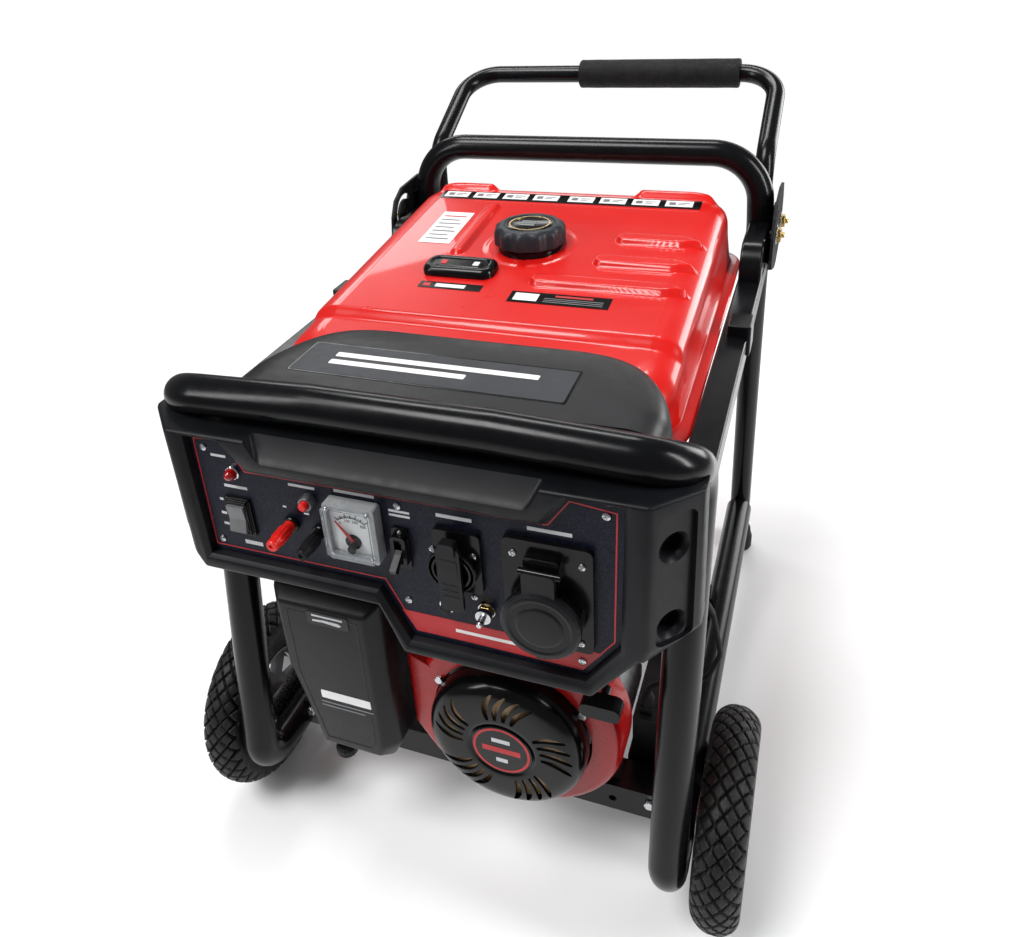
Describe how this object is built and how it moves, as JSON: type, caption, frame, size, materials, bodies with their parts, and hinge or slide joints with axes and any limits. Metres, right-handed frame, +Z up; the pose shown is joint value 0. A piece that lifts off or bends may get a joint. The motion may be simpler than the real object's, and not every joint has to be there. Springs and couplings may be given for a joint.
{
  "type": "portable generator",
  "caption": "Petrol generator in an open tubular frame: wheels in front, rear legs, fold-back handle, fuel tank on top, recessed control panel, engine and alternator below.",
  "frame": {"origin": "centre of the outline on the ground", "axes": "+Z up; the control panel faces -Y; +X is to the right of a person facing the panel"},
  "size_m": [0.698, 0.9885, 0.859],
  "materials": {
    "front_frame_tube": "satin black powder coat",
    "upper_frame": "satin black powder coat",
    "rear_leg_left": "satin black powder coat",
    "rear_leg_right": "satin black powder coat",
    "base_cross_front": "satin black powder coat",
    "base_cross_rear": "satin black powder coat",
    "handle_tube": "satin black powder coat",
    "handle_plate_left": "satin black plate with zinc bolts",
    "handle_plate_right": "satin black plate with zinc bolts",
    "stub_axle_left": "zinc plated",
    "stub_axle_right": "zinc plated",
    "rear_foot_left": "moulded rubber",
    "rear_foot_right": "moulded rubber",
    "wheel_rim_left": "grey pressed steel",
    "wheel_rim_right": "grey pressed steel",
    "wheel_tyre_left": "moulded rubber with tread",
    "wheel_tyre_right": "moulded rubber with tread",
    "handle_grip": "matte foam sleeve",
    "fuel_tank": "gloss red paint",
    "fuel_cap": "moulded",
    "fuel_gauge": "moulded with clear window",
    "top_cowl": "fine satin texture",
    "panel_surround": "satin moulding",
    "control_plate": "dark metallic plate with black plastic bezels",
    "control_box": "folded sheet, black",
    "pilot_lamp": "red lens",
    "engine_switch": "grey rocker",
    "dc_reset_button": "red button",
    "dc_post_red": "red insulated terminal",
    "dc_post_black": "black insulated terminal",
    "voltmeter_body": "black case with white dial",
    "voltmeter_lens": "clear window",
    "voltmeter_needle": "thin pointer",
    "breaker_body": "moulded",
    "breaker_toggle": "moulded lever",
    "socket_small": "moulded",
    "socket_small_flap": "moulded",
    "socket_large": "moulded",
    "socket_large_lid": "moulded",
    "ac_reset_button": "moulded",
    "ground_terminal": "zinc plated stud and nuts",
    "air_filter_base": "moulded",
    "air_filter_cover": "satin moulding",
    "air_filter_knob": "moulded",
    "choke_lever": "moulded",
    "crankcase": "cast",
    "cylinder_head": "cast with fins",
    "flywheel_crankshaft": "cast and turned",
    "blower_housing": "gloss red paint",
    "recoil_cover": "gloss black",
    "recoil_pulley": "moulded",
    "recoil_grip": "moulded",
    "muffler": "pressed steel",
    "alternator_housing": "cast",
    "alternator_rotor": "laminated steel with copper windings",
    "mount_front": "rubber pads on a steel strap",
    "mount_rear": "rubber pads on a steel strap",
    "battery_tray": "satin black",
    "battery": "moulded case",
    "battery_cable": "black insulated cable"
  },
  "bodies": {
    "frame": {"front_frame_tube": "front_frame_tube", "upper_frame": "upper_frame", "rear_leg_left": "rear_leg_left", "rear_leg_right": "rear_leg_right", "base_cross_front": "base_cross_front", "base_cross_rear": "base_cross_rear", "handle_plate_left": "handle_plate_left", "handle_plate_right": "handle_plate_right", "stub_axle_left": "stub_axle_left", "stub_axle_right": "stub_axle_right", "rear_foot_left": "rear_foot_left", "rear_foot_right": "rear_foot_right", "fuel_tank": "fuel_tank", "fuel_gauge": "fuel_gauge", "top_cowl": "top_cowl", "panel_surround": "panel_surround", "control_plate": "control_plate", "control_box": "control_box", "pilot_lamp": "pilot_lamp", "voltmeter_body": "voltmeter_body", "voltmeter_lens": "voltmeter_lens", "breaker_body": "breaker_body", "socket_small": "socket_small", "socket_large": "socket_large", "ground_terminal": "ground_terminal", "air_filter_base": "air_filter_base", "air_filter_cover": "air_filter_cover", "crankcase": "crankcase", "cylinder_head": "cylinder_head", "blower_housing": "blower_housing", "recoil_cover": "recoil_cover", "muffler": "muffler", "alternator_housing": "alternator_housing", "mount_front": "mount_front", "mount_rear": "mount_rear", "battery_tray": "battery_tray", "battery": "battery", "battery_cable": "battery_cable"},
    "handle": {"handle_tube": "handle_tube", "handle_grip": "handle_grip"},
    "wheel_left": {"wheel_rim_left": "wheel_rim_left", "wheel_tyre_left": "wheel_tyre_left"},
    "wheel_right": {"wheel_rim_right": "wheel_rim_right", "wheel_tyre_right": "wheel_tyre_right"},
    "cap": {"fuel_cap": "fuel_cap"},
    "rocker": {"engine_switch": "engine_switch"},
    "dc_button": {"dc_reset_button": "dc_reset_button"},
    "ac_button": {"ac_reset_button": "ac_reset_button"},
    "post_red": {"dc_post_red": "dc_post_red"},
    "post_black": {"dc_post_black": "dc_post_black"},
    "needle": {"voltmeter_needle": "voltmeter_needle"},
    "toggle": {"breaker_toggle": "breaker_toggle"},
    "flap_small": {"socket_small_flap": "socket_small_flap"},
    "lid_large": {"socket_large_lid": "socket_large_lid"},
    "filter_knob": {"air_filter_knob": "air_filter_knob"},
    "choke": {"choke_lever": "choke_lever"},
    "starter_grip": {"recoil_grip": "recoil_grip"},
    "starter_pulley": {"recoil_pulley": "recoil_pulley"},
    "crank": {"flywheel_crankshaft": "flywheel_crankshaft", "alternator_rotor": "alternator_rotor"}
  },
  "joints": [
    {"name": "handle_fold", "type": "hinge", "parent": "frame", "child": "handle", "pos_m": [0, 0.2941, 0.652], "axis": [1, 0, 0], "range_deg": [-130, 0]},
    {"name": "wheel_left_spin", "type": "hinge", "parent": "frame", "child": "wheel_left", "pos_m": [-0.321, -0.3309, 0.125], "axis": [1, 0, 0], "continuous": true},
    {"name": "wheel_right_spin", "type": "hinge", "parent": "frame", "child": "wheel_right", "pos_m": [0.321, -0.3309, 0.125], "axis": [1, 0, 0], "continuous": true},
    {"name": "fuel_cap_turn", "type": "hinge", "parent": "frame", "child": "cap", "pos_m": [-0.006, 0.0021, 0.7053], "axis": [0, 0, 1], "continuous": true},
    {"name": "engine_switch_rock", "type": "hinge", "parent": "frame", "child": "rocker", "pos_m": [-0.183, -0.4573, 0.5555], "axis": [1, 0, 0], "range_deg": [-8, 8]},
    {"name": "dc_reset_press", "type": "slide", "parent": "frame", "child": "dc_button", "axis": [0, 1, 0], "range_m": [0, 0.003], "stiffness_N_per_m": 150},
    {"name": "ac_reset_press", "type": "slide", "parent": "frame", "child": "ac_button", "axis": [0, 1, 0], "range_m": [0, 0.003], "stiffness_N_per_m": 150},
    {"name": "dc_post_red_turn", "type": "hinge", "parent": "frame", "child": "post_red", "pos_m": [-0.12, -0.4543, 0.559], "axis": [0, 1, 0], "continuous": true},
    {"name": "dc_post_black_turn", "type": "hinge", "parent": "frame", "child": "post_black", "pos_m": [-0.087, -0.4543, 0.555], "axis": [0, 1, 0], "continuous": true},
    {"name": "voltmeter_needle_swing", "type": "hinge", "parent": "frame", "child": "needle", "pos_m": [-0.044, -0.4663, 0.563], "axis": [0, 1, 0], "range_deg": [0, 76], "stiffness_Nm_per_rad": 0.0002},
    {"name": "breaker_toggle_flip", "type": "hinge", "parent": "frame", "child": "toggle", "pos_m": [0.004, -0.4597, 0.556], "axis": [1, 0, 0], "range_deg": [-76, 0]},
    {"name": "socket_small_flap_lift", "type": "hinge", "parent": "frame", "child": "flap_small", "pos_m": [0.061, -0.4663, 0.585], "axis": [1, 0, 0], "range_deg": [-100, 0], "stiffness_Nm_per_rad": 0.01},
    {"name": "socket_large_lid_lift", "type": "hinge", "parent": "frame", "child": "lid_large", "pos_m": [0.15, -0.4733, 0.573], "axis": [1, 0, 0], "range_deg": [-110, 0], "stiffness_Nm_per_rad": 0.03},
    {"name": "air_filter_knob_turn", "type": "hinge", "parent": "frame", "child": "filter_knob", "pos_m": [-0.146, -0.4059, 0.1505], "axis": [0, 0, 1], "continuous": true},
    {"name": "choke_turn", "type": "hinge", "parent": "frame", "child": "choke", "pos_m": [-0.222, -0.3559, 0.372], "axis": [0, 1, 0], "range_deg": [-20, 30]},
    {"name": "starter_grip_pull", "type": "slide", "parent": "frame", "child": "starter_grip", "axis": [0, -1, 0], "range_m": [0, 0.4], "stiffness_N_per_m": 20},
    {"name": "starter_pulley_spin", "type": "hinge", "parent": "frame", "child": "starter_pulley", "pos_m": [0.075, -0.3999, 0.25], "axis": [0, 1, 0], "continuous": true},
    {"name": "crank_spin", "type": "hinge", "parent": "frame", "child": "crank", "pos_m": [0.075, -0.3599, 0.25], "axis": [0, 1, 0], "continuous": true}
  ]
}
